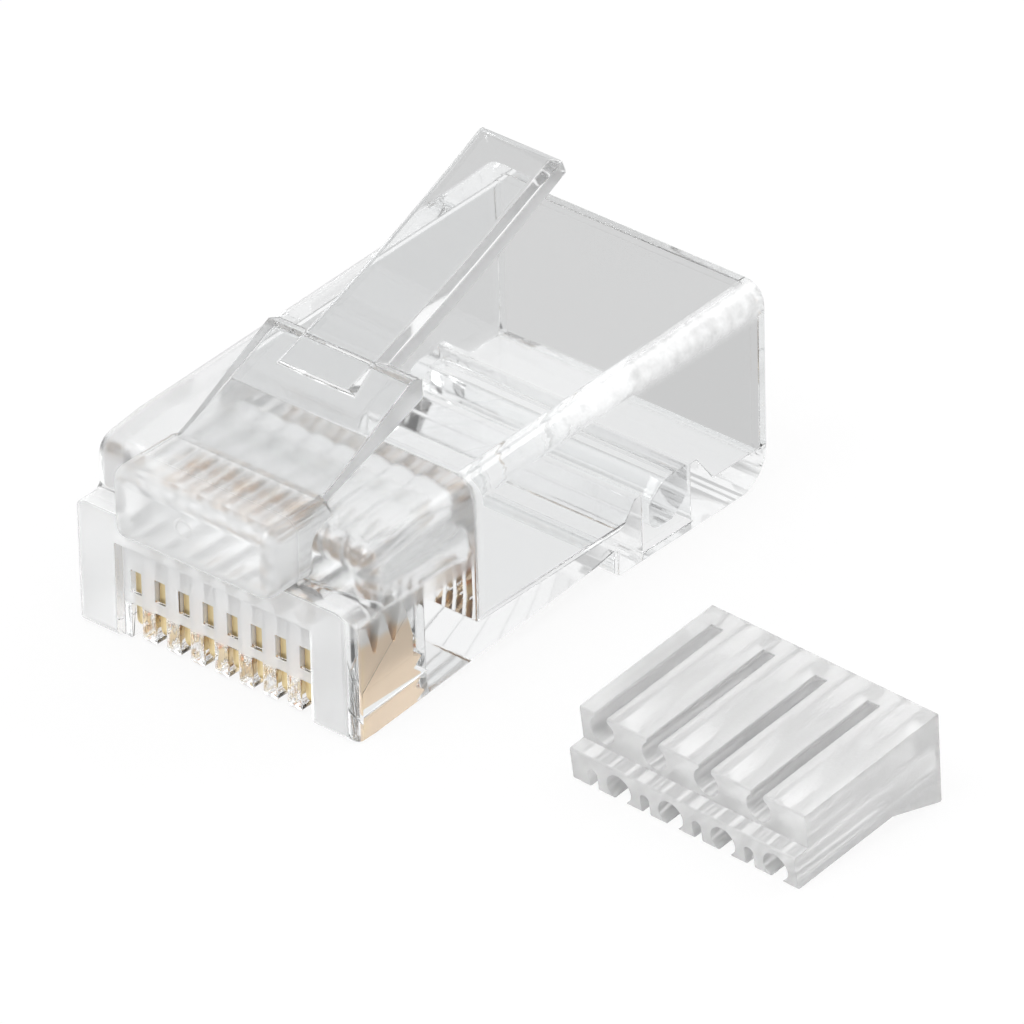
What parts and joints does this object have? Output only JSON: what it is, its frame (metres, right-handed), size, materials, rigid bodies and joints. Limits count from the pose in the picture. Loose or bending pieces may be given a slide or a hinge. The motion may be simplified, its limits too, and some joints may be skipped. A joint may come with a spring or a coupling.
{
  "type": "modular plug",
  "caption": "Clear crimp-on modular plug for round data cable, with a sprung latch, a cable clamp, gold-plated blades and a loose wire guide.",
  "frame": {"origin": "on the plug's centre line, at the front plane of the two nose posts, on the surface the plug lies on", "axes": "+Y from the nose towards the cable, +Z from the contact side up to the latch side, +X across the plug towards the loose wire guide"},
  "size_m": [0.0281, 0.0211, 0.0129],
  "materials": {
    "clear_moulding": "clear polycarbonate, polished mould",
    "frosted_moulding": "slightly frosted clear polycarbonate",
    "gold_plate": "gold plate on phosphor bronze, stamped"
  },
  "bodies": {
    "plug": {"housing": "clear_moulding", "wire_guide": "frosted_moulding"},
    "latch": {"latch_lever": "clear_moulding"},
    "clamp": {"cable_clamp": "clear_moulding"},
    "blade_1": {"contact_1": "gold_plate"},
    "blade_2": {"contact_2": "gold_plate"},
    "blade_3": {"contact_3": "gold_plate"},
    "blade_4": {"contact_4": "gold_plate"},
    "blade_5": {"contact_5": "gold_plate"},
    "blade_6": {"contact_6": "gold_plate"},
    "blade_7": {"contact_7": "gold_plate"},
    "blade_8": {"contact_8": "gold_plate"}
  },
  "joints": [
    {"name": "latch_press", "type": "hinge", "parent": "plug", "child": "latch", "pos_m": [0, 0.002, 0.00675], "axis": [-1, 0, 0], "range_deg": [0, 13], "stiffness_Nm_per_rad": 0.3},
    {"name": "clamp_crimp", "type": "hinge", "parent": "plug", "child": "clamp", "pos_m": [0, 0.01675, 0.00215], "axis": [-1, 0, 0], "range_deg": [0, 30]},
    {"name": "blade_1_crimp", "type": "slide", "parent": "plug", "child": "blade_1", "axis": [0, 0, 1], "range_m": [0, 0.0005]},
    {"name": "blade_2_crimp", "type": "slide", "parent": "plug", "child": "blade_2", "axis": [0, 0, 1], "range_m": [0, 0.0005]},
    {"name": "blade_3_crimp", "type": "slide", "parent": "plug", "child": "blade_3", "axis": [0, 0, 1], "range_m": [0, 0.0005]},
    {"name": "blade_4_crimp", "type": "slide", "parent": "plug", "child": "blade_4", "axis": [0, 0, 1], "range_m": [0, 0.0005]},
    {"name": "blade_5_crimp", "type": "slide", "parent": "plug", "child": "blade_5", "axis": [0, 0, 1], "range_m": [0, 0.0005]},
    {"name": "blade_6_crimp", "type": "slide", "parent": "plug", "child": "blade_6", "axis": [0, 0, 1], "range_m": [0, 0.0005]},
    {"name": "blade_7_crimp", "type": "slide", "parent": "plug", "child": "blade_7", "axis": [0, 0, 1], "range_m": [0, 0.0005]},
    {"name": "blade_8_crimp", "type": "slide", "parent": "plug", "child": "blade_8", "axis": [0, 0, 1], "range_m": [0, 0.0005]}
  ]
}
